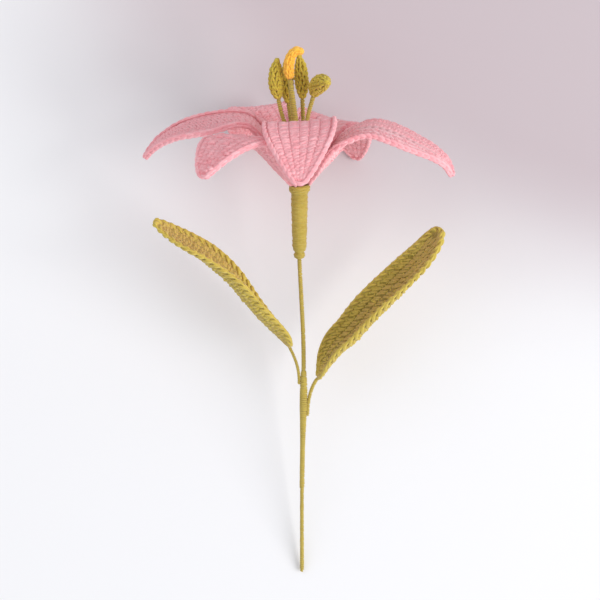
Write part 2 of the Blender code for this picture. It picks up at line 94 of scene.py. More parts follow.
# Neck below the bloom: radius of the wound yarn at each height from the base of the bloom
BLOOM_BASE = np.array((-1.7, 265.8, 0))
NECK = [(-48.8, 2.1), (-48.2, 3.1), (-46.4, 3.6), (-44.4, 3.0), (-43.2, 4.2), (-40.5, 4.8), (-35, 4.7),
        (-31, 5.2), (-25, 5.0), (-15, 5.4), (-5.5, 5.5), (-3.6, 6.4), (-1.6, 6.8), (0, 6.6)]
NECK_BORE = [(2.75, 0), (1.6, -42.8), (1.3, -48.8)]  # radius and height
NECK_LEAST = 1.3
NECK_STEPS = 28
NECK_WELD = 0.001
NECK_THREAD = 0.5
NECK_PITCH = 0.9
# Looser turns laid over the neck: from, to, how far they stand off it, radius of their yarn, pitch
NECK_WRAPS = [(-4.6, -0.6, 0.5, 0.9, 1.6), (-30, -6, 0.2, 0.55, 7.0), (-29, -9, 0.3, 0.5, 4.3),
              (-42, -33, 0.25, 0.6, 3.4), (-48.2, -45.2, 0.4, 0.75, 1.3)]

# Petals: midline knots are (distance from the axis, height), and azimuth turns from +X towards +Z
PETAL_TIP = [(0.5, 22.2), (0.6, 23.2), (0.7, 21.8), (0.8, 17.5), (0.9, 11.5), (0.96, 7.2), (1, 3.2)]
# Half widths are (share of length, mm) and rolls (share, degrees). A cup flattens between two shares,
# and smooth says how smooth the outsides of its petals are near the neck
CUPS = {
    "outer": {"knots": [(6.2, 0.85), (12.5, 7.8), (19, 15.6), (25.8, 23.3)], "flattens": (0.24, 0.4),
              "smooth": 0.5,
              "half_widths": [(0, 2.6), (0.08, 7), (0.2, 16.5), (0.3, 20), (0.38, 21), *PETAL_TIP]},
    "inner": {"knots": [(3.7, 0.75), (8.7, 10.2), (15.2, 18.8), (22.5, 26.6)], "flattens": (0.34, 0.52),
              "smooth": 1.0,
              "half_widths": [(0, 2.6), (0.08, 5.2), (0.2, 11.2), (0.3, 14.8), (0.38, 17.5),
                              *PETAL_TIP]},
}
PETALS = {
    "petal_right": {
        "azimuth": 8, "cup": "outer", "roll": [(0, 0), (0.35, 0), (0.5, -1), (1, -1)], "gutter": -80,
        "arch": [(29.8, 30), (34.5, 36.3), (41, 39.8), (50, 40.6), (60.4, 38), (69.4, 34), (79.7, 28.6),
                 (88.7, 23), (95.2, 16.8), (98.5, 9.5)]},
    "petal_front": {
        "azimuth": 91, "cup": "inner", "roll": [(0, 0), (0.35, 0), (0.5, -4), (1, -4)],
        "arch": [(29, 36), (36, 45), (45, 49.7), (56, 49), (67, 44.5), (77, 37), (85, 28.5),
                 (90, 21.5)]},
    "petal_front_left": {
        "azimuth": 130, "cup": "outer", "roll": [(0, 0), (0.3, 0), (0.5, -3), (1, -3)], "gutter": -160,
        "arch": [(31, 30.5), (38, 35.5), (47, 38.5), (57, 40), (67.5, 40.5), (78, 38), (87.5, 31.5),
                 (92.5, 26), (95, 22)]},
    "petal_left": {
        "azimuth": 184, "cup": "inner", "roll": [(0, 0), (0.42, 0), (0.6, 4), (1, 3)],
        "arch": [(27.5, 34), (34, 40), (43, 41.5), (54, 39.5), (65.5, 37.3), (75.2, 35), (83, 31.8),
                 (90.2, 27.5), (96.1, 22), (99.6, 17.3)]},
    "petal_back_left": {
        "azimuth": 243, "cup": "outer", "roll": [(0, 0), (1, 0)], "width": 0.88,
        "arch": [(31, 29.5), (38, 35), (46, 39.7), (53, 41), (62, 38.5), (72, 31.5), (80, 21),
                 (84.8, 10)]},
    "petal_back_right": {
        "azimuth": 299, "cup": "inner", "roll": [(0, 0), (0.22, 0), (0.42, -8), (1, -6)],
        "arch": [(28, 32.2), (35, 35.9), (44, 35), (54, 30.4), (64, 23.2), (73, 14.6), (79.5, 6.5),
                 (82, 2)]},
}
PETAL_GUTTER = 260  # radius across a petal beyond the cup; a petal with a negative one is a ridge
PETAL_CREASE = math.radians(1)
PETAL_CREASE_SPAN = (0.25, 0.5)
CUP_CURVE_SHARE = 1.3

# Leaves: the midline is the bottom of the gutter. Inside, stitches lean and the second colour comes in
# between two shares of the half width: browner yarn, and partly painted shade on the shadowed inside
LEAVES = {
    "leaf_left": {
        "midline": [(-8.8, 157.7, 0), (-17, 166, 1), (-30.8, 181.2, 2), (-45.6, 200.3, 3),
                    (-61.7, 216.4, 3), (-80, 230.1, 2), (-95.6, 242.4, 1)],
        "roll": [(0, -105), (0.45, -90), (1, -60)], "gutter": 15,
        # Browner second tone over all the inside but one edge, partly painted shade; under is painted
        # shade below legs
        "inside": {"lean": 0.3, "second": (1.0, 0.85), "radius": 1.25, "under": 0.4},
        "half_widths": [(0, 6.2), (0.03, 10.5), (0.08, 13.8), (0.2, 15.8), (0.35, 16.5), (0.5, 16.5),
                        (0.65, 15), (0.8, 11.7), (0.9, 8.2), (0.96, 5.6), (1, 2.8)]},
    "leaf_right": {
        "midline": [(10.3, 135.8, 0), (23.8, 154.8, 2), (34.9, 165.6, 3), (47.6, 180.7, 3),
                    (64.6, 198.8, 3), (79.8, 217, 2), (90, 236.2, 0)],
        "roll": [(0, 74), (0.2, 70), (0.5, 64), (0.8, 58), (1, 50)], "gutter": 13.5,
        # Browner second tone over the near side, partly painted shade; under is painted shade below the
        # legs
        "inside": {"lean": 0.9, "second": (-0.8, -0.25), "radius": 0.98, "under": 0.65},
        "half_widths": [(0, 3.4), (0.04, 8.5), (0.1, 13), (0.2, 16.3), (0.35, 18), (0.5, 18),
                        (0.65, 17), (0.8, 14.4), (0.9, 11), (0.96, 7.8), (1, 3.8)]},
}

# Stamens and pistil, from the base of the bloom
FILAMENTS = {
    "filament_1": [(-2.1, 2, 0.3), (-4.8, 17, 0.3), (-8.3, 36, 0.6), (-11.6, 48, 1), (-13.5, 56.5, 1)],
    "filament_2": [(-0.9, 2, -1.8), (-2.8, 20, -4), (-5, 38, -6), (-6.9, 52, -7)],
    "filament_3": [(1.6, 2, -1.3), (2.2, 20, -2), (2.4, 40, -2), (2.0, 56, -2)],
    "filament_4": [(1.4, 2, 1.4), (3, 22, 3), (5, 44, 4), (8.8, 59.4, 6)],
}
FILAMENT_RADII = [(0, 0.8), (0.2, 1.2), (1, 1.5)]
FILAMENT_YARN = 0.9  # share of the thread's radius
STALK_SWELL = 0.1  # how far the winding stands outside the form under it
ANTHERS = {  # where each one ends, and half its width and depth
    "anther_1": ((-14.2, 82.7, 1), 4.9, 3.6),
    "anther_2": ((-6, 84, -10), 4.4, 3.6),
    "anther_3": ((-0.2, 85, -2), 4.6, 3.8),
    "anther_4": ((17.2, 71.8, 24), 5.8, 5.8),
}
ANTHER_PULL = 0.5
ANTHER_CORE_SHADE = 0.5  # deepest tone, painted on the cores as shade between stitches; a share of the deep one
ANTHER_GAP = 0.3
ANTHER_LEAST = 1.6
ANTHER_INSET = 1.0
ANTHER_STYLE = {"round_radius": 0.95, "round_pitch": 4.0, "round_rise": 0.7}
ANTHER_PROFILE = [(0, 0.33), (0.12, 0.72), (0.3, 0.96), (0.5, 1), (0.7, 0.88), (0.86, 0.62),
                  (0.95, 0.36), (1, 0.2)]
PISTIL_STALK = [(-0.3, 2, 0.2), (-0.9, 20, 2.6), (-2.6, 40, 4.2), (-4.4, 56, 5), (-6, 70.2, 5.5)]
PISTIL_STALK_RADII = [(0, 0.8), (0.12, 0.95), (0.35, 1.9), (0.6, 2.2), (1, 1.7)]
PISTIL_TIP = [(-6.1, 70.9, 5.5), (-6.9, 76.5, 6), (-6.5, 82.3, 6.5), (-4.7, 86.8, 7), (-1.5, 89.2, 7.5),
              (2.0, 88, 8)]
PISTIL_TIP_RADII = [(0, 2.2), (0.08, 3.4), (0.3, 3.7), (0.65, 3.5), (0.9, 2.9), (1, 1.7)]
PISTIL_TIP_INSET = 0.8
PISTIL_TIP_STYLE = {"round_radius": 0.9, "round_pitch": 3.8}

# Crochet: rows are bands between shares of the half width, and each stitch has two legs on each face
PETAL_ROWS = [(0.0, 0.27), (0.3, 0.56), (0.59, 0.86)]
LEAF_ROWS = [(0.0, 0.24), (0.26, 0.5), (0.52, 0.75)]
STITCH_STYLE = {
    "low_spread": 0.16, "high_spread": 0.28,  # how far two legs part at their roots and their heads
    "lean": 0.25,  # how far a head lies ahead of its root, as are the spreads in stitch pitches
    "low": -0.2, "proud": 0.6,  # how far a leg stands off the cloth at its ends and its middle
    "ragged": 0.35, "wobble": 0.35,  # how uneven the legs' heights and places are
    "mottle": 0.6,  # how much of the second colour a strand may take by chance
    "smooth": 0.0, "smooth_from": (0.1, 0.2), "smooth_to": (0.4, 0.5),  # where the work is smooth
    "under": 0.3, "groove": 0.45, "rim_shade": 0.1,  # painted shade of the cloth under, between and past rows
    "second": (2, 3),  # shares of the half width between which the second colour comes in
    "holes": [],  # lines of holes: share of the half width, and from where to where along
    "hole_slant": 0.0, "hole_length": 2, "hole_radius": 0.8,  # a higher length power is a shorter hole
    "braid_radius": 1.25, "braid_rise": 0.8, "braid_dive": 0.9, "braid_span": (-0.2, 1.3),
    "rim_cord": 0,  # radius of a cord laid under the braid
    "round_pitch": 3.6, "round_radius": 0.9, "round_rise": 0.4,
}
PETAL_OUTSIDE = {"radius": 1.42, "lean": 0.5}
# Less painted shade under and between the rows on the insides of the petals
PETAL_INSIDE = {"under": 0.1, "groove": 0.2}
PETAL_WORK = {  # what differs on a petal's inside, and its rows
    # The right petal's near half takes the pale second tone as painted light
    "petal_right": {
        "rows": [(0.0, 0.14), (0.46, 0.64), (0.66, 0.86)], "holes": [(0.3, 0.25, 0.8)],
        "hole_radius": 2.2, "hole_length": 1, "second": (0.05, 0.3), "smooth": 0.75,
        "smooth_to": (0.75, 0.95)},
    # More painted shade under and between the rows of the left petal
    "petal_left": {
        "rows": [(0.0, 0.26), (0.28, 0.48), (0.5, 0.66)], "holes": [(0.79, 0.25, 0.95)],
        "hole_radius": 1.6, "hole_length": 1, "under": 0.5, "groove": 0.5, "mottle": 0.2},
    "petal_front_left": {"proud": 0.95, "ragged": 0.6, "wobble": 0.8},
}
LEAF_WORK = {"pitch": 5.4, "ragged": 0.4, "braid_radius": 1.15, "braid_dive": 3.2,
             "braid_span": (0.0, 0.9), "rim_cord": 0.85}
LEAF_OUTSIDE = {"radius": 1.25, "holes": [(-0.84, 0.0, 1.0), (0.84, 0.0, 1.0)], "hole_slant": 1.0,
                "hole_length": 1.5, "hole_radius": 1.5, "mottle": 0.25}
LEAF_INSIDE = {"mottle": 0.3, "groove": 0.15, "wobble": 0.8}
SHORTEST_LEG = 1.5
TIP_MARGIN = 1.5  # legs end this far before the tip
LEG_POINTS = 6
LEG_ENDS = 0.8  # share of a leg's radius that is left at its ends
LEG_UNEVEN = 0.06
LEG_SINK = 0.25
CROWN = 0.6  # power of the sine that rounds a row; below 1 is fuller than a sine
LEG_CROWN = 0.7
WOBBLE_ALONG = 0.5
WOBBLE_ACROSS = 0.4
ROOT_THINNING = 0.6
ROOT_SPAN = (0.0, 0.3)
CLOTH_HEIGHT = 0.62  # how far the fabric stands off its middle in a groove between rows
CLOTH_SWELL = 0.5  # how much further it stands on the crown of a row
CLOTH_INSET = 1.1
CLOTH_COLUMNS = 52
CLOTH_STEPS = 190
CLOTH_EDGE = 6  # power that keeps the cloth thick up to near its edge
CLOTH_WEAVE = 7  # distance across the cloth in which its ply pattern repeats
HOLE_DEPTH = 0.7
HOLE_FADE = 0.08  # share of the length over which a line of holes comes in and goes out
HOLE_WIDTHS = (3, 6)  # half widths of the blade over which its holes come in
SHADE_WIDTHS = (5, 9)  # the same for the painted shade between its rows
RIM_INSET = 0.95
RIM_POINTS = 160
NOSE_POINTS = 12
NOSE_LENGTH = 0.8  # share of the half width at the tip
BRAID_UNEVEN = 0.12
BRAID_BULGE = 0.45
BRAID_DIVE_POWER = 1.5
BRAID_FOOT = 0.2
BRAID_TURN = 0.8 * math.pi
BRAID_ENDS = 0.65
PLIES = 3
TUBE_SIDES = 6
TURN_STEPS = 12
WINDING_UNEVEN = (0.03, 0.12)  # of a turn's radius in millimetres, and of its place in pitches
CORE_INSET = 0.9  # share of the thread's radius by which a core lies inside its winding
CORE_LEAST = 0.25
CORE_STEPS = 40
WINDING_ENDS = 0.6  # share of its radius that a winding starts and ends with
WELD = 0.0005  # distance in millimetres within which points of a piece are one
ROUND_STITCH = 2.9  # height of one round of an anther or of the pistil's tip
ROUND_REACH = 1.25  # how far a stitch reaches, in rounds
ROUND_UNEVEN = (0.2, 0.15)  # of a stitch's turn in radians, and share of its lift
ROUND_SINK = 0.5
ROUND_ROOT = 0.25  # how far two legs part at their roots, as a share of their heads' distance
ROUND_ENDS = 0.55

# Camera: it looks straight down at the middle of the flower
CAMERA_DISTANCE = 1.8
CAMERA_AIM = (0.00095, 0.01047, 0.03639)
FOCAL_PIXELS = 2732
PICTURE_PIXELS = 600
SENSOR = 36
VIEW_LIMIT = 20

# Stage: place, width in metres and colour of each light, and half the side of the floor
LIGHTS = {
    "key": ((2.5, -0.6, 2.1), 2.4, (1.0, 0.98, 0.96)),
    "fill": ((-1.1, 0.6, 1.4), 1.6, (0.96, 0.97, 1.0)),
}
ROOM_COLOUR = (0.97, 0.97, 1.0, 1)
FLOOR_SIZE = 3


def unit(vectors):
    return vectors / np.linalg.norm(vectors, axis=-1, keepdims=True)


def to_world(points):
    """Places in the flower's frame, in millimetres, as places on the floor, in metres."""
    up = unit(np.array(LYING_UP))
    ahead = unit(np.array((0, 1, 0)) - up * up[1])
    turn = np.array((np.cross(ahead, up), ahead, up))
    return (points @ turn.T + np.array(LYING_SHIFT)) * MM


def smooth_line(knots, steps=24):
    """Points on a smooth curve through the knots."""
    knots = np.array(knots, dtype=float)
    knots = np.vstack([2 * knots[0] - knots[1], knots, 2 * knots[-1] - knots[-2]])
    u = (np.arange(steps) / steps)[:, None]
    spans = []
    for before, start, end, after in zip(knots, knots[1:], knots[2:], knots[3:]):
        bend = (2 * before - 5 * start + 4 * end - after) * u**2
        twist = (3 * start - before - 3 * end + after) * u**3
        spans.append((2 * start + (end - before) * u + bend + twist) / 2)
    return np.vstack([*spans, knots[-2:-1]])


def table(pairs, value):
    """The value on a smooth line through (value, reading) pairs."""
    line = smooth_line(pairs)
    return np.interp(value, line[:, 0], line[:, 1])


def ease(value, start, end):
    share = np.clip((value - start) / (end - start), 0, 1)
    return share * share * (3 - 2 * share)


class Route:
    """A smooth line in space that can be read at any share of its length."""

    def __init__(self, knots):
        self.points = smooth_line(knots)
        self.at = np.concatenate([[0], np.cumsum(np.linalg.norm(np.diff(self.points, axis=0), axis=1))])
        self.length = self.at[-1]

    def point(self, share):
        wanted = np.asarray(share) * self.length
        return np.stack([np.interp(wanted, self.at, self.points[:, axis]) for axis in range(3)], axis=-1)

    def tangent(self, share, reach=0.01):
        return unit(self.point(np.minimum(1, share + reach)) - self.point(np.maximum(0, share - reach)))

    def frame(self, share):
        """Two directions across the line, the second one facing the viewer."""
        tangent = self.tangent(share)
        across = unit(np.cross(tangent, (0, 0, 1)))
        return across, np.cross(across, tangent)


class Blade:
    """A gutter-shaped sheet along a midline: the form of a petal or a leaf."""

    def __init__(self, route, side, half_widths, curve_radius, crease, roll):
        self.route = route
        self.side = side
        self.half_widths = half_widths
        self.curve_radius = curve_radius
        self.crease = crease
        self.roll = roll

    def half_width(self, along):
        return table(self.half_widths, along / self.route.length)

    def place(self, along, across, height):
        """Points at distances along the midline, across from it and off the sheet towards its inside."""
        held = np.clip(along, 0, self.route.length)
        share = held / self.route.length
        tangent = self.route.tangent(share)
        side = unit(self.side - tangent * (tangent @ self.side)[..., None])
        inward = np.cross(side, tangent)
        radius = self.curve_radius(share)
        angle = np.abs(across) / radius
        crease = self.crease(share)
        flat = radius * np.sin(angle)
        bowl = radius * (1 - np.cos(angle))
        out = flat * np.cos(crease) - bowl * np.sin(crease) - height * np.sin(angle + crease)
        rise = flat * np.sin(crease) + bowl * np.cos(crease) + height * np.cos(angle + crease)
        out = out * np.where(across < 0, -1, 1)
        roll = np.radians(table(self.roll, share))
        along_side = (out * np.cos(roll) - rise * np.sin(roll))[..., None]
        along_inward = (out * np.sin(roll) + rise * np.cos(roll))[..., None]
        beyond = (along - held)[..., None]
        return self.route.point(share) + side * along_side + inward * along_inward + tangent * beyond

    def rim(self, inset):
        """(along, across) points round the edge: out along one side, round the tip and back."""
        nose_length = NOSE_LENGTH * (self.half_width(self.route.length) - inset)
        last = self.route.length - nose_length
        along = np.linspace(0, last, RIM_POINTS)
        side = np.column_stack([along, self.half_width(along) - inset])
        turn = np.linspace(0, math.pi, NOSE_POINTS)[1:-1]
        nose = np.column_stack([last + nose_length * np.sin(turn), side[-1, 1] * np.cos(turn)])
        return np.vstack([side, nose, side[::-1] * (1, -1)])


def petal_blade(petal):
    azimuth = math.radians(petal["azimuth"])
    outward = np.array((math.cos(azimuth), 0, math.sin(azimuth)))
    side = np.array((-math.sin(azimuth), 0, math.cos(azimuth)))
    cup = CUPS[petal["cup"]]
    line = cup["knots"] + petal["arch"]
    route = Route([BLOOM_BASE + outward * reach + (0, height, 0) for reach, height in line])
    gutter = petal.get("gutter", PETAL_GUTTER)

    def curve_radius(share):
        flat = ease(share, *cup["flattens"])
        reach = (route.point(share) - BLOOM_BASE) @ outward
        return 1 / ((1 - flat) / (reach * CUP_CURVE_SHARE) + flat / gutter)

    def crease(share):
        return PETAL_CREASE * ease(share, *PETAL_CREASE_SPAN)

    half_widths = [(share, width * petal.get("width", 1)) for share, width in cup["half_widths"]]
    return Blade(route, side, half_widths, curve_radius, crease, petal["roll"])


def leaf_blade(leaf):
    route = Route(leaf["midline"])
    side = np.cross(route.tangent(0.5), (0, 0, 1))

    def curve_radius(share):
        return np.full(np.shape(share), float(leaf["gutter"]))

    def crease(share):
        return np.zeros(np.shape(share))

    return Blade(route, side, leaf["half_widths"], curve_radius, crease, leaf["roll"])


def mark(mesh, name, values):
    """Gives each point of a mesh a value that a material can read."""
    mesh.attributes.new(name, "FLOAT", "POINT").data.foreach_set("value", values)


def loop_corners(mesh):
    corners = np.zeros(len(mesh.loops), dtype=np.int32)
    mesh.loops.foreach_get("vertex_index", corners)
    return corners


def finished_mesh(work, name):
    mesh = bpy.data.meshes.new(name)
    work.to_mesh(mesh)
    work.free()
    return mesh


def placed_mesh(work, name, points):
    """A closed mesh from a bmesh whose points are moved to the given ones, in millimetres."""
    for vertex, place in zip(work.verts, to_world(points)):
        vertex.co = place
    bmesh.ops.recalc_face_normals(work, faces=work.faces)
    return finished_mesh(work, name)


def add_object(name, data):
    made = bpy.data.objects.new(name, data)
    bpy.context.scene.collection.objects.link(made)
    return made


def strands(lines, radii, lay, tones=0.0):
    """Yarn along many lines of points in millimetres, as one mesh whose UV counts the turns of the ply.

    Tones say how much of its second colour each line takes, from 0 to 1.
    """
    curve = bpy.data.curves.new("yarn", "CURVE")
    curve.dimensions = "3D"
    curve.bevel_depth = 1
    curve.bevel_resolution = (TUBE_SIDES - 4) // 2
    curve.use_fill_caps = True
    for line, sizes in zip(to_world(lines), radii * MM):
        spline = curve.splines.new("POLY")
        spline.points.add(len(line) - 1)
        spline.points.foreach_set("co", np.column_stack([line, np.ones(len(line))]).ravel())
        spline.points.foreach_set("radius", sizes)
    holder = add_object("yarn", curve)
    bpy.context.view_layer.update()
    mesh = bpy.data.meshes.new_from_object(holder.evaluated_get(bpy.context.evaluated_depsgraph_get()))
    bpy.data.objects.remove(holder)
    bpy.data.curves.remove(curve)
    turns = np.linalg.norm(np.diff(lines, axis=1), axis=2).sum(axis=1) / lay
    places = np.zeros(len(mesh.loops) * 2, dtype=np.float32)
    mesh.uv_layers[0].uv.foreach_get("vector", places)
    places = places.reshape(-1, 2)
    caps = len(lines) * 2 * (TUBE_SIDES - 2) * 3
    walls = places[caps:].reshape(len(lines), -1, 2)
    walls[..., 0] *= turns[:, None]
    mesh.uv_layers[0].uv.foreach_set("vector", places.ravel())
    tones = np.broadcast_to(tones, len(lines))
    corners = loop_corners(mesh)
    second = np.zeros(len(mesh.vertices))
    second[corners[:caps]] = np.repeat(tones, caps // len(lines))
    second[corners[caps:]] = np.repeat(tones, walls.shape[1])
    mark(mesh, "second", second)
    return mesh


def leg_radii(count, radius, ends, chance):
    """Radii along legs that are thinner where they dive into the work."""
    swell = np.sin(np.linspace(0, math.pi, LEG_POINTS)) ** CROWN
    sizes = radius * (ends + (1 - ends) * swell)
    return sizes * (1 + LEG_UNEVEN * chance.standard_normal((count, 1)))


def root_scale(blade, along):
    return ROOT_THINNING + (1 - ROOT_THINNING) * ease(along / blade.route.length, *ROOT_SPAN)


def calm(blade, style, along):
    """How far the stitches sink into smooth fabric at each distance, 0 to 1."""
    share = along / blade.route.length
    return style["smooth"] * ease(share, *style["smooth_from"]) * (1 - ease(share, *style["smooth_to"]))


def fabric(blade, rows, style, along, across):
    """How far the fabric stands off its middle at each place, and how much painted shade it takes, 0 to
    1.
    """
    held = np.clip(along, 0, blade.route.length)
    width = blade.half_width(held)
    share = across / width
    swell = np.zeros(np.shape(share))
    for start, end in rows:
        inside = (np.abs(share) >= start) & (np.abs(share) < end)
        crown = np.sin(math.pi * np.clip((np.abs(share) - start) / (end - start), 0, 1)) ** CROWN
        swell = np.where(inside, crown, swell)
    pit = np.zeros(np.shape(share))
    for line, start, end in style["holes"]:
        off = (share - line) * width
        slanted = along + off * style["hole_slant"] * np.sign(line)
        beat = (0.5 + 0.5 * np.cos(2 * math.pi * slanted / style["pitch"])) ** style["hole_length"]
        reach = ease(held / blade.route.length, start, start + HOLE_FADE)
        reach = reach * (1 - ease(held / blade.route.length, end - HOLE_FADE, end))
        pit = np.maximum(pit, np.exp(-((off / style["hole_radius"]) ** 2)) * beat * reach)
    pit = pit * ease(width, *HOLE_WIDTHS)
    height = (CLOTH_HEIGHT + CLOTH_SWELL * swell - HOLE_DEPTH * pit) * root_scale(blade, along)
    # Painted shade: darker in the holes, under the legs, in the grooves between rows and a little past
    # the rows
    shade = style["under"] * (1 - calm(blade, style, held)) + style["groove"] * (1 - swell)
    shade = np.where(np.abs(share) < rows[-1][1], shade, style["rim_shade"])
    shade = shade * ease(width, *SHADE_WIDTHS)
    return height, np.clip(np.maximum(pit, shade), 0, 1)


def row_legs(blade, rows, row, side, face, style, chance):
    """The legs of one row of stitches on one face: two for each stitch, across the row."""
    pitch = style["pitch"]
    count = int(blade.route.length / pitch)
    at = np.repeat((np.arange(count) + 0.5) * pitch, 2)
    spread = np.tile((-1.0, 1.0), count)
    t = np.linspace(0, 1, LEG_POINTS)
    at = at + WOBBLE_ALONG * style["wobble"] * chance.standard_normal(len(at))
    low = spread * pitch * style["low_spread"]
    high = spread * pitch * style["high_spread"] + pitch * style["lean"] * side
    along = at[:, None] + low[:, None] * (1 - t) + high[:, None] * t
    width = blade.half_width(np.clip(along, 0, blade.route.length))
    crown = np.sin(math.pi * t) ** LEG_CROWN
    across = side * width * (row[0] + (row[1] - row[0]) * t)
    across = across + WOBBLE_ACROSS * style["wobble"] * chance.standard_normal((len(at), 1)) * crown
    inside = along.max(axis=1) < blade.route.length - TIP_MARGIN
    long_enough = (width[:, LEG_POINTS // 2] * (row[1] - row[0]) > SHORTEST_LEG) & inside
    sunk = calm(blade, style, at)[:, None]
    proud = (style["low"] + (style["proud"] - style["low"]) * crown) * (1 - sunk) - LEG_SINK * sunk
    proud = proud * (1 + style["ragged"] * chance.standard_normal((len(at), 1)))
    scale = root_scale(blade, along)
    height, _ = fabric(blade, rows, style, along, across)
    radii = leg_radii(len(at), style["radius"], LEG_ENDS, chance) * np.sqrt(scale)
    lines = blade.place(along, across, face * (height + proud * scale - radii))
    middle = (across / width)[:, LEG_POINTS // 2]
    # The second tone, by place, is painted light or shade on some pieces; by chance it is the yarn's own
    # variation
    tones = ease(middle, *style["second"]) * (face > 0) + style["mottle"] * chance.random(len(at))
    return lines[long_enough], radii[long_enough], np.clip(tones, 0, 1)[long_enough]


def rim_braid(blade, style, chance):
    """The last round's chain along the edge: one V for each stitch, one leg on either face."""
    path = blade.rim(RIM_INSET)
    steps = np.concatenate([[0], np.cumsum(np.linalg.norm(np.diff(path, axis=0), axis=1))])
    count = round(steps[-1] / style["pitch"])
    pitch = steps[-1] / count
    t = np.linspace(0, 1, LEG_POINTS)
    outward = BRAID_BULGE * np.sin(math.pi * t) - style["braid_dive"] * (1 - t) ** BRAID_DIVE_POWER

    def on_path(travel):
        return np.stack([np.interp(travel, steps, line) for line in path.T])

    lines, radii = [], []
    for face in (-1, 1):
        start = np.arange(count)[:, None] * pitch + BRAID_UNEVEN * chance.standard_normal((count, 1))
        first, last = style["braid_span"]
        travel = np.clip(start + pitch * (first + (last - first) * t), 0, steps[-1])
        ahead_along, ahead_across = on_path(travel + 0.5) - on_path(travel - 0.5)
        size = np.hypot(ahead_along, ahead_across)
        along, across = on_path(travel)
        along = along - outward * ahead_across / size
        across = across + outward * ahead_along / size
        scale = root_scale(blade, along)
        height = face * (BRAID_FOOT + style["braid_rise"] * np.sin(BRAID_TURN * (1 - t))) * scale
        lines.append(blade.place(along, across, height))
        radii.append(leg_radii(count, style["braid_radius"], BRAID_ENDS, chance) * np.sqrt(scale))
    return np.concatenate(lines), np.concatenate(radii)


def cloth(blade, rows, outer, inner):
    """The body of the work: a closed sheet that swells under each row and dips between rows."""
    sheet = bmesh.new()
    bmesh.ops.create_cone(sheet, cap_ends=True, segments=2 * CLOTH_COLUMNS, radius1=1, radius2=1,
                          depth=1)
    uprights = [edge for edge in sheet.edges if abs(edge.verts[0].co.z - edge.verts[1].co.z) > 0.5]
    bmesh.ops.subdivide_edges(sheet, edges=uprights, cuts=CLOTH_STEPS - 1)
    flat = np.array([vertex.co for vertex in sheet.verts])
    around = np.arctan2(flat[:, 1], flat[:, 0]) / math.pi
    side = 1 - 2 * np.abs(around)
    along = (flat[:, 2] + 0.5) * (blade.route.length - CLOTH_INSET)
    across = side * (blade.half_width(along) - CLOTH_INSET)
    faces = [fabric(blade, rows, style, along, across) for style in (outer, inner)]
    height = np.where(around > 0, faces[1][0], -faces[0][0]) * np.sqrt(1 - side**CLOTH_EDGE)
    # The cloth's painted shade, which its material reads as a darker share of the deep tone
    shaded_hollow = np.where(around > 0, faces[1][1], faces[0][1])
    mesh = placed_mesh(sheet, "cloth", blade.place(along, across, height))
    mark(mesh, "shaded_hollow", shaded_hollow)
    # Second tone on the inside face: pale painted light on the right petal, browner yarn and painted
    # shade in the leaves
    mark(mesh, "second", ease(side, *inner["second"]) * (around > 0))
    places = np.column_stack([along / outer["lay"], across / CLOTH_WEAVE])[loop_corners(mesh)]
    mesh.uv_layers.new(name="UVMap").uv.foreach_set("vector", places.ravel())
    return mesh


def spindle(route, wide, deep, inset):
    """The stuffed body under the stitches of an anther."""
    ball = bmesh.new()
    bmesh.ops.create_uvsphere(ball, u_segments=18, v_segments=14, radius=1)
    flat = np.array([vertex.co for vertex in ball.verts])
    share = np.arccos(np.clip(-flat[:, 2], -1, 1)) / math.pi
    around = np.arctan2(flat[:, 1], flat[:, 0])
    off_pole = np.sin(math.pi * share) > 0.01
    across, facing = route.frame(share)
    out = np.cos(around) * (wide(share) - inset) * off_pole
    up = np.sin(around) * (deep(share) - inset) * off_pole
    ball.loops.layers.uv.new("UVMap")
    points = route.point(share) + across * out[:, None] + facing * up[:, None]
    mesh = placed_mesh(ball, "spindle", points)
    # The core shows only between stitches: it takes the deep tones as painted shade
    mark(mesh, "second", np.ones(len(flat)))
    return mesh


def rod(route, radii, inset):
    """The closed core under wound or crocheted yarn, as one tube."""
    share = np.linspace(0, 1, CORE_STEPS)
    size = np.maximum(radii(share) - inset, CORE_LEAST)
    return strands(route.point(share)[None], size[None], lay=route.length)


def wound(route, radii, yarn, pitch, chance, lay):
    """Yarn wound round a line in a helix that lies on the given radius."""
    turns = route.length / pitch
    count = int(turns * TURN_STEPS)
    share = np.linspace(0, 1, count)
    angle = 2 * math.pi * turns * share
    across, facing = route.frame(share)
    draws = chance.standard_normal(int(turns) + 2)
    each_turn = np.interp(share * turns, np.arange(len(draws)), draws)
    in_radius, in_place = WINDING_UNEVEN
    reach = radii(share) - yarn + in_radius * each_turn
    centre = route.point(share) + route.tangent(share) * (in_place * pitch * each_turn)[:, None]
    line = centre + across * (np.cos(angle) * reach)[:, None] + facing * (np.sin(angle) * reach)[:, None]
    size = np.full(count, yarn)
    size[:2] *= WINDING_ENDS
    size[-2:] *= WINDING_ENDS
    return strands(line[None], size[None], lay)


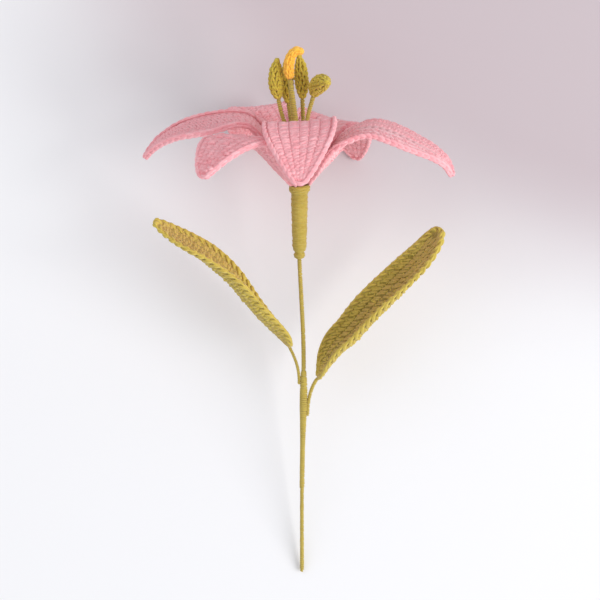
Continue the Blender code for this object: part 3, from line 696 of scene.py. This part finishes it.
def round_stitches(route, wide, deep, style, chance):
    """V stitches worked in rounds over a spindle with the given half width and half depth."""
    rounds = max(3, round(route.length / ROUND_STITCH))
    t = np.linspace(0, 1, LEG_POINTS)
    in_turn, in_lift = ROUND_UNEVEN
    lines, radii = [], []
    for row in range(rounds):
        low, high = row / rounds, (row + ROUND_REACH) / rounds
        share = np.clip(low + (high - low) * t, 0, 1)
        middle = np.clip((low + high) / 2, 0, 1)
        count = max(4, round(2 * math.pi * (wide(middle) + deep(middle)) / 2 / style["round_pitch"]))
        turn = 2 * math.pi * (np.arange(count) + 0.5 * (row % 2)) / count
        turn = np.repeat(turn + in_turn * chance.standard_normal(count), 2)
        spread = np.tile((-1.0, 1.0), count) * math.pi / count
        angle = turn[:, None] + spread[:, None] * (ROUND_ROOT + (1 - ROUND_ROOT) * t)
        lift = style["round_rise"] * (np.sin(math.pi * t) ** LEG_CROWN) - ROUND_SINK
        lift = lift * (1 + in_lift * chance.standard_normal((len(turn), 1)))
        across, facing = route.frame(share)
        out = (wide(share) - style["round_radius"] + lift) * np.cos(angle)
        up = (deep(share) - style["round_radius"] + lift) * np.sin(angle)
        lines.append(route.point(share) + across * out[..., None] + facing * up[..., None])
        radii.append(leg_radii(len(turn), style["round_radius"], ROUND_ENDS, chance))
    return strands(np.concatenate(lines), np.concatenate(radii), style["lay"])


class Socket:
    """An output in a material's nodes that takes part in arithmetic."""

    def __init__(self, paint, output):
        self.paint = paint
        self.output = output

    def math(self, operation, *others):
        values = dict(enumerate((self, *others)))
        return self.paint.node("ShaderNodeMath", {"operation": operation}, values)

    def __add__(self, other):
        return self.math("ADD", other)

    def __mul__(self, other):
        return self.math("MULTIPLY", other)

    def __rsub__(self, other):
        return self.paint.node("ShaderNodeMath", {"operation": "SUBTRACT"}, {0: other, 1: self})


class Paint:
    """One material and its nodes."""

    def __init__(self, name, **constants):
        self.material = bpy.data.materials.new(name)
        self.material.use_nodes = True
        self.tree = self.material.node_tree
        self.shader = self.tree.nodes["Principled BSDF"]
        self.fill(self.shader, constants)

    def fill(self, node, values):
        for name, value in values.items():
            socket = node.inputs[name]
            if isinstance(value, Socket):
                self.tree.links.new(value.output, socket)
            else:
                socket.default_value = value

    def node(self, kind, settings, values, output=0):
        """Adds a node, sets its settings, then its sockets, and returns one of its outputs."""
        made = self.tree.nodes.new(kind)
        for name, value in settings.items():
            setattr(made, name, value)
        self.fill(made, values)
        return Socket(self, made.outputs[output])

    def noise(self, scale, detail, place):
        return self.node("ShaderNodeTexNoise", {}, {"Vector": place, "Scale": scale, "Detail": detail})

    def mix(self, factor, low, high):
        return self.node("ShaderNodeMix", {"data_type": "RGBA"}, {0: factor, 6: low, 7: high}, output=2)

    def place(self):
        """Places on the object, in metres."""
        return self.node("ShaderNodeTexCoord", {}, {}, output=3)

    def part(self, place, axis):
        return self.node("ShaderNodeSeparateXYZ", {}, {0: place}, output=axis)

    def marked(self, name):
        return self.node("ShaderNodeAttribute", {"attribute_name": name}, {}, output=2)

    def shine(self, **links):
        for name, value in links.items():
            self.fill(self.shader, {name.replace("_", " "): value})
        return self.material


def rgba(colour):
    return (*colour, 1)


def yarn_paint(name, light, deep, second=None, gap_shade=0.55):
    """Plied yarn: twisted ridges, fine fibres, a drifting colour, and painted shade between plies and in
    holes.

    Second is a pair of tones for the places and strands that are marked for them, and the last argument
    says how much of the deep tone is painted into a hole as shade.
    """
    paint = Paint(name, **{"Sheen Weight": 0.3, "Sheen Roughness": 0.5, "Specular IOR Level": 0.2,
                           "Sheen Tint": (1.0, 0.95, 0.93, 1)})
    uv = paint.node("ShaderNodeUVMap", {"uv_map": "UVMap"}, {})
    turns = paint.part(uv, 0)
    around = paint.part(uv, 1)
    ply = ((turns + around * PLIES) * math.pi).math("SINE").math("ABSOLUTE")
    place = paint.place()
    fibre = paint.noise(1400, 3, place)
    drift = paint.noise(70, 2, place)
    fleck = paint.noise(420, 2, place)
    # The ply term paints shade into the grooves between the plies; fibre, fleck and drift vary the tone
    # at random
    tone = ply * 0.3 + fibre * 0.35 + fleck * 0.35 + drift * 0.4
    share = paint.node("ShaderNodeMapRange", {}, {0: tone, 1: 0.35, 2: 1.0, 3: 0.0, 4: 1.0})
    colour = paint.mix(share, rgba(deep), rgba(light))
    # The tone painted as shade into holes: the deep tone, darkened
    shade = rgba([channel * gap_shade for channel in deep])
    if second is not None:
        other = paint.mix(share, rgba(second[1]), rgba(second[0]))
        colour = paint.mix(paint.marked("second"), colour, other)
    # Painted shade: holes, grooves and the cloth under the legs take the darkened deep tone
    colour = paint.mix(paint.marked("shaded_hollow") * 0.9, colour, shade)
    bump = paint.node("ShaderNodeBump", {}, {"Strength": 0.5, "Distance": 0.0003,
                                             "Height": ply * 0.7 + fibre * 0.3})
    return paint.shine(Base_Color=colour, Roughness=1 - fleck * 0.2, Normal=bump)


def wire_paint():
    """Drawn craft wire: brushed along its length, a little dull."""
    paint = Paint("drawn_wire", Metallic=1.0, **{"Base Color": (0.5, 0.49, 0.47, 1)})
    stretched = paint.node("ShaderNodeMapping", {}, {"Vector": paint.place(), "Scale": (9, 0.4, 9)})
    streak = paint.noise(420, 3, stretched)
    bump = paint.node("ShaderNodeBump", {}, {"Strength": 0.3, "Distance": 0.00005, "Height": streak})
    return paint.shine(Roughness=streak * 0.3 + 0.22, Normal=bump)


def floor_paint(near, far):
    """A pale floor that grows greyer away from the foot of the stem, and more so on the right: painted
    shade.
    """
    paint = Paint("pale_floor", **{"Specular IOR Level": 0.05})
    place = paint.place()
    aside = paint.part(place, 0)
    depth = paint.part(place, 1)
    cloud = paint.noise(6, 2, place)
    beyond = (depth * 3).math("MAXIMUM", 0)
    # How far each place lies into the floor's painted shade
    far_off = depth + cloud * 0.08 + aside * (beyond + 0.2)
    share = paint.node("ShaderNodeMapRange", {"interpolation_type": "SMOOTHSTEP"},
                       {0: far_off, 1: 0.03, 2: 0.25, 3: 0.0, 4: 1.0})
    return paint.shine(Base_Color=paint.mix(share, rgba(near), rgba(far)), Roughness=cloud * 0.1 + 0.85)


def assemble(node, parts):
    """Joins (mesh, material) parts into one piece that rides the frame and stands for a CAD node."""
    name = f"{node}_yarn"
    joined = bmesh.new()
    materials = []
    for mesh, material in parts:
        if material not in materials:
            materials.append(material)
        mesh.polygons.foreach_set("material_index", [materials.index(material)] * len(mesh.polygons))
        mesh.polygons.foreach_set("use_smooth", [True] * len(mesh.polygons))
        joined.from_mesh(mesh)
        bpy.data.meshes.remove(mesh)
    bmesh.ops.remove_doubles(joined, verts=joined.verts, dist=WELD * MM)
    whole = finished_mesh(joined, name)
    for material in materials:
        whole.materials.append(material)
    made = add_object(name, whole)
    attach(made, "root")
    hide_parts(node)


def chance_for(name):
    """Random numbers that are the same for a piece on every run."""
    return np.random.default_rng(sum(ord(letter) * (place + 1) for place, letter in enumerate(name)))


def work_blade(name, blade, rows, outer, inner, paint):
    """One petal or leaf: dense cloth, rows of legs on both faces and the braid round its edge."""
    chance = chance_for(name)
    meshes = [cloth(blade, rows, outer, inner)]
    for face, style in ((-1, outer), (1, inner)):
        worked = []
        for row in rows:
            for side in (-1, 1):
                worked.append(row_legs(blade, rows, row, side, face, style, chance))
        lines, radii, tones = (np.concatenate(part) for part in zip(*worked))
        meshes.append(strands(lines, radii, style["lay"], tones))
    lines, radii = rim_braid(blade, outer, chance)
    tones = outer["mottle"] * chance.random(len(lines))
    meshes.append(strands(lines, radii, outer["lay"], tones))
    if outer["rim_cord"]:
        path = blade.rim(RIM_INSET)
        cord = blade.place(path[:, 0], path[:, 1], np.zeros(len(path)))[None]
        meshes.append(strands(cord, np.full((1, len(path)), outer["rim_cord"]), outer["lay"]))
    assemble(name, [(mesh, paint) for mesh in meshes])


def tone(**words):
    return FloatVectorProperty(subtype="COLOR", **words)


class LilyYarnColours(PropertyGroup):
    """Colours of the yarns, each with a deeper tone, painted as shade between its plies and in holes."""

    petal: tone(name="Petal Yarn", description="Light tone of the petals", default=(0.97, 0.455, 0.50))
    petal_deep: tone(name="Petal Shade", description="Deep tone of the petals",
                     default=(0.87, 0.31, 0.345))
    # The palest tone: stitches take it at random, and the right petal's near half takes it as painted
    # light
    petal_pale_and_highlight: tone(name="Petal Highlight", description="Tone of the palest petal stitches",
                     default=(0.98, 0.63, 0.66))
    leaf: tone(name="Leaf Yarn", description="Light tone of leaves and stem", default=(0.70, 0.56, 0.11))
    leaf_deep: tone(name="Leaf Shade", description="Deep tone of leaves and stem",
                    default=(0.46, 0.34, 0.05))
    # The tones inside the leaves: browner yarn, and partly painted shade on the shadowed inside
    shaded_hollow: tone(name="Leaf Hollow", description="Light tone inside the leaves",
                 default=(0.68, 0.51, 0.15))
    shaded_hollow_deep: tone(name="Leaf Hollow Shade", description="Deep tone inside the leaves",
                      default=(0.42, 0.28, 0.065))
    stem: tone(name="Stem Yarn", description="Light tone of stem, stalks and neck",
               default=(0.60, 0.475, 0.10))
    stem_deep: tone(name="Stem Shade", description="Deep tone of stem, stalks and neck",
                    default=(0.37, 0.27, 0.045))
    anther: tone(name="Anther Yarn", description="Light tone of the anthers", default=(0.72, 0.57, 0.08))
    anther_deep: tone(name="Anther Shade", description="Deep tone of the anthers",
                      default=(0.42, 0.30, 0.025))
    pistil: tone(name="Pistil Yarn", description="Light tone of the pistil's tip",
                 default=(1.0, 0.60, 0.09))
    pistil_deep: tone(name="Pistil Shade", description="Deep tone of the pistil's tip",
                      default=(0.94, 0.44, 0.03))


class LilyStitches(PropertyGroup):
    """Sizes of the crochet and of the winding."""

    pitch: FloatProperty(name="Stitch Pitch", description="Distance between stitches along a row",
                         default=0.0046, min=0.002, max=0.01, unit="LENGTH", precision=4)
    yarn: FloatProperty(name="Yarn Radius", description="Radius of a leg of yarn in the crochet",
                        default=0.0013, min=0.0004, max=0.003, unit="LENGTH", precision=5)
    lay: FloatProperty(name="Ply Lay", description="Length of yarn in which its plies turn once",
                       default=0.0065, min=0.001, max=0.05, unit="LENGTH", precision=4)
    thread: FloatProperty(name="Thread Radius", description="Radius of the yarn wound round the wires",
                          default=0.0007, min=0.0002, max=0.002, unit="LENGTH", precision=5)
    winding: FloatProperty(name="Winding Pitch", description="Distance between turns of the winding",
                           default=0.00135, min=0.0004, max=0.004, unit="LENGTH", precision=5)


class LilyStage(PropertyGroup):
    """Floor and lights."""

    floor: FloatVectorProperty(name="Floor Near", description="Colour of the floor at the foot",
                               subtype="COLOR", default=(0.84, 0.85, 0.87))
    # The floor's far tone is painted shade
    floor_far_shade: FloatVectorProperty(name="Floor Far", description="Colour of the floor beyond the bloom",
                                   subtype="COLOR", default=(0.56, 0.49, 0.52))
    key: FloatProperty(name="Key Light", description="Power of the large light", default=76, min=0,
                       unit="POWER")
    fill: FloatProperty(name="Fill Light", description="Power of the light opposite", default=3, min=0,
                        unit="POWER")
    sky: FloatProperty(name="Room Light", description="Strength of the light from all round",
                       default=0.72, min=0)


def crochet_style(**changes):
    """The common style with the panel's sizes, in millimetres, and a piece's own changes."""
    sizes = bpy.context.scene.lily_stitches
    panel = {"pitch": sizes.pitch / MM, "radius": sizes.yarn / MM, "lay": sizes.lay / MM}
    return {**STITCH_STYLE, **panel, **changes}


class LILY_OT_petals(Operator):
    """Crochet the six petals"""

    bl_idname = "lily.petals"
    bl_label = "Crochet Petals"

    def execute(self, context):
        colours = context.scene.lily_colours
        # Holes keep 0.62 of the deep tone as painted shade; the pale tone is partly painted light
        paint = yarn_paint("petal_yarn", colours.petal, colours.petal_deep, gap_shade=0.62,
                           second=(colours.petal_pale_and_highlight, colours.petal))
        for name, petal in PETALS.items():
            work = {**PETAL_INSIDE, **PETAL_WORK.get(name, {})}
            rows = work.pop("rows", PETAL_ROWS)
            outer = crochet_style(smooth=CUPS[petal["cup"]]["smooth"], **PETAL_OUTSIDE)
            inner = crochet_style(**work)
            work_blade(name, petal_blade(petal), rows, outer, inner, paint)
        return {"FINISHED"}


class LILY_OT_leaves(Operator):
    """Crochet the two leaves"""

    bl_idname = "lily.leaves"
    bl_label = "Crochet Leaves"

    def execute(self, context):
        colours = context.scene.lily_colours
        # Holes keep 0.3 of the deep tone as painted shade; the browner inside tones are partly painted
        # shade too
        paint = yarn_paint("leaf_yarn", colours.leaf, colours.leaf_deep, gap_shade=0.3,
                           second=(colours.shaded_hollow, colours.shaded_hollow_deep))
        outer = crochet_style(**LEAF_WORK, **LEAF_OUTSIDE)
        for name, leaf in LEAVES.items():
            inner = crochet_style(**LEAF_WORK, **LEAF_INSIDE, **leaf["inside"])
            work_blade(name, leaf_blade(leaf), LEAF_ROWS, outer, inner, paint)
        return {"FINISHED"}


def profile(pairs, scale=1.0, swell=0.0, least=0.0):
    """A function that reads how far a form reaches from its midline at a share of its length."""
    def reach(share):
        return np.maximum(table(pairs, share) * scale + swell, least)

    return reach


def by_height(pairs, low, high, rise=0.0):
    """A function that reads (height, radius) pairs at a share of the way from low to high."""
    def radius(share):
        return np.interp(low + (high - low) * share, *np.array(pairs).T) + rise

    return radius


def bloom_route(knots):
    return Route(np.array(knots) + BLOOM_BASE)


def upright(low, high):
    """A straight line between two heights from the base of the bloom."""
    return bloom_route([(0, height, 0) for height in (low, (low + high) / 2, high)])


def wind(node, route, radii, paint, yarn=1.0, seed=None):
    """Thread wound round a core, as one piece. Yarn is a share of the panel's thread radius."""
    sizes = bpy.context.scene.lily_stitches
    thread, pitch, lay = sizes.thread / MM, sizes.winding / MM, sizes.lay / MM
    chance = chance_for(seed or node)
    assemble(node, [(rod(route, radii, thread * CORE_INSET), paint),
                    (wound(route, radii, thread * yarn, pitch, chance, lay), paint)])


class LILY_OT_stem(Operator):
    """Wind the stem and the leaf stalks with yarn"""

    bl_idname = "lily.stem"
    bl_label = "Wind Stem"

    def execute(self, context):
        colours = context.scene.lily_colours
        paint = yarn_paint("stem_yarn", colours.stem, colours.stem_deep)
        axis = Route(STEM_AXIS)
        for name, sizes in SLEEVES.items():
            low, high = sizes[0][0], sizes[-1][0]
            ends = np.interp((low, high), axis.points[:, 1], axis.at) / axis.length
            wind(name, Route(axis.point(np.linspace(*ends, 24))), by_height(sizes, low, high), paint)
        for name, (knots, radius) in LEAF_STALKS.items():

            def even(share, radius=radius):
                return np.full(np.shape(share), radius)

            wind(name, Route(knots), even, paint)
        return {"FINISHED"}


class LILY_OT_neck(Operator):
    """Wind the neck below the bloom"""

    bl_idname = "lily.neck"
    bl_label = "Wind Neck"

    def execute(self, context):
        colours = context.scene.lily_colours
        paint = yarn_paint("neck_yarn", colours.stem, colours.stem_deep)
        lay = context.scene.lily_stitches.lay / MM
        core = bmesh.new()
        outline = [(radius - NECK_THREAD * 0.5, height) for height, radius in NECK] + NECK_BORE
        corners = [core.verts.new((max(radius, NECK_LEAST), height, 0)) for radius, height in outline]
        for start, end in zip(corners, corners[1:] + corners[:1]):
            core.edges.new((start, end))
        bmesh.ops.spin(core, geom=core.verts[:] + core.edges[:], cent=(0, 0, 0), axis=(0, 1, 0),
                       dvec=(0, 0, 0), angle=2 * math.pi, steps=NECK_STEPS, use_merge=True)
        bmesh.ops.remove_doubles(core, verts=core.verts, dist=NECK_WELD)
        core.loops.layers.uv.new("UVMap")
        points = np.array([vertex.co for vertex in core.verts]) + BLOOM_BASE
        parts = [(placed_mesh(core, "neck_core", points), paint)]
        layers = [("neck", NECK[0][0], NECK[-1][0], 0.0, NECK_THREAD, NECK_PITCH)]
        layers += [("wrap", *wrap) for wrap in NECK_WRAPS]
        for seed, low, high, rise, yarn, pitch in layers:
            radii = by_height(NECK, low, high, rise)
            parts.append((wound(upright(low, high), radii, yarn, pitch, chance_for(seed), lay), paint))
        assemble("neck_winding", parts)
        return {"FINISHED"}


class LILY_OT_stamens(Operator):
    """Wind the filaments and crochet the anthers"""

    bl_idname = "lily.stamens"
    bl_label = "Make Stamens"

    def execute(self, context):
        colours = context.scene.lily_colours
        stalk = yarn_paint("filament_yarn", colours.stem, colours.stem_deep)
        # The cores take the deep and deepest tones as painted shade between the stitches
        gap_shade = [channel * ANTHER_CORE_SHADE for channel in colours.anther_deep]
        pod = yarn_paint("anther_yarn", colours.anther, colours.anther_deep,
                         second=(colours.anther_deep, gap_shade))
        style = crochet_style(**ANTHER_STYLE)
        for (name, knots), (pod_name, (end, wide, deep)) in zip(FILAMENTS.items(), ANTHERS.items()):
            route = bloom_route(knots)
            wind(name, route, profile(FILAMENT_RADII, swell=STALK_SWELL), stalk, yarn=FILAMENT_YARN)
            start = route.point(1.0) + route.tangent(1.0) * ANTHER_GAP
            end = BLOOM_BASE + end
            pull = start + route.tangent(1.0) * np.linalg.norm(end - start) * ANTHER_PULL
            u = np.linspace(0, 1, 5)[:, None]
            midline = Route(start * (1 - u) ** 2 + pull * 2 * u * (1 - u) + end * u * u)
            sizes = [profile(ANTHER_PROFILE, scale=size, least=ANTHER_LEAST) for size in (wide, deep)]
            stitches = round_stitches(midline, *sizes, style, chance_for(pod_name))
            parts = [(spindle(midline, *sizes, ANTHER_INSET), pod), (stitches, pod)]
            assemble(pod_name, parts)
        return {"FINISHED"}


class LILY_OT_pistil(Operator):
    """Wind the pistil's stalk and crochet its curled tip"""

    bl_idname = "lily.pistil"
    bl_label = "Make Pistil"

    def execute(self, context):
        colours = context.scene.lily_colours
        stalk = yarn_paint("pistil_stalk_yarn", colours.stem, colours.stem_deep)
        tip = yarn_paint("pistil_tip_yarn", colours.pistil, colours.pistil_deep)
        radii = profile(PISTIL_STALK_RADII, swell=STALK_SWELL)
        wind("pistil_stalk", bloom_route(PISTIL_STALK), radii, stalk, seed="pistil")
        curl = bloom_route(PISTIL_TIP)
        size = profile(PISTIL_TIP_RADII)
        style = crochet_style(**PISTIL_TIP_STYLE)
        stitches = round_stitches(curl, size, size, style, chance_for("pistil_tip"))
        parts = [(rod(curl, size, PISTIL_TIP_INSET), tip), (stitches, tip)]
        assemble("pistil_tip", parts)
        return {"FINISHED"}


class LILY_OT_wires(Operator):
    """Finish the steel wires inside the stem"""

    bl_idname = "lily.wires"
    bl_label = "Finish Wires"

    def execute(self, context):
        paint = wire_paint()
        for name in ("stem_wire", "wire_tail_bundle"):
            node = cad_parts[name]
            node.data.materials.clear()
            node.data.materials.append(paint)
        return {"FINISHED"}


def area_light(name, place, size, colour, power):
    data = bpy.data.lights.new(name, "AREA")
    data.shape = "DISK"
    data.size = size
    data.energy = power
    data.color = colour
    light = add_object(name, data)
    light.location = place
    light.rotation_euler = (Vector(CAMERA_AIM) - Vector(place)).to_track_quat("-Z", "Y").to_euler()


class LILY_OT_stage(Operator):
    """Lay the floor and set the lights and the camera"""

    bl_idname = "lily.stage"
    bl_label = "Set Stage"

    def execute(self, context):
        scene = context.scene
        stage = scene.lily_stage
        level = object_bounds()[0].z
        plane = bmesh.new()
        bmesh.ops.create_grid(plane, x_segments=1, y_segments=1, size=FLOOR_SIZE)
        bmesh.ops.translate(plane, verts=plane.verts, vec=(0, 0, level))
        floor = add_object("floor", finished_mesh(plane, "floor"))
        floor.data.materials.append(floor_paint(stage.floor, stage.floor_far_shade))
        floor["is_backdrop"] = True
        area_light("key", *LIGHTS["key"], stage.key)
        area_light("fill", *LIGHTS["fill"], stage.fill)
        world = bpy.data.worlds.new("room")
        world.use_nodes = True
        sky = world.node_tree.nodes["Background"].inputs
        sky["Color"].default_value = ROOM_COLOUR
        sky["Strength"].default_value = stage.sky
        scene.world = world
        scene.view_settings.view_transform = "Standard"
        data = bpy.data.cameras.new("camera")
        data.sensor_width = SENSOR
        data.lens = FOCAL_PIXELS * SENSOR / PICTURE_PIXELS
        data.clip_end = VIEW_LIMIT
        camera = add_object("camera", data)
        camera.location = Vector(CAMERA_AIM) + Vector((0, 0, CAMERA_DISTANCE))
        scene.camera = camera
        return {"FINISHED"}


class LILY_PT_panel(Panel):
    """Sizes, colours and steps of the lily"""

    bl_idname = "LILY_PT_panel"
    bl_label = "Crocheted Lily"
    bl_space_type = "VIEW_3D"
    bl_region_type = "UI"
    bl_category = "Lily"

    def draw(self, context):
        for group in (context.scene.lily_colours, context.scene.lily_stitches, context.scene.lily_stage):
            box = self.layout.box()
            for name in group.bl_rna.properties.keys():
                if name not in ("name", "rna_type"):
                    box.prop(group, name)
        for step in STEPS:
            self.layout.operator(step.bl_idname)


STEPS = (LILY_OT_wires, LILY_OT_stem, LILY_OT_neck, LILY_OT_leaves, LILY_OT_petals, LILY_OT_stamens,
         LILY_OT_pistil, LILY_OT_stage)
GROUPS = {"lily_colours": LilyYarnColours, "lily_stitches": LilyStitches, "lily_stage": LilyStage}


def register():
    for group in GROUPS.values():
        bpy.utils.register_class(group)
    for name, group in GROUPS.items():
        setattr(bpy.types.Scene, name, PointerProperty(type=group))
    for kind in (*STEPS, LILY_PT_panel):
        bpy.utils.register_class(kind)


def unregister():
    for kind in reversed((*STEPS, LILY_PT_panel)):
        bpy.utils.unregister_class(kind)
    for name in GROUPS:
        delattr(bpy.types.Scene, name)
    for group in reversed(GROUPS.values()):
        bpy.utils.unregister_class(group)


def main():
    register()
    for step in STEPS:
        namespace, name = step.bl_idname.split(".")
        getattr(getattr(bpy.ops, namespace), name)()


if __name__ == "__main__":
    main()
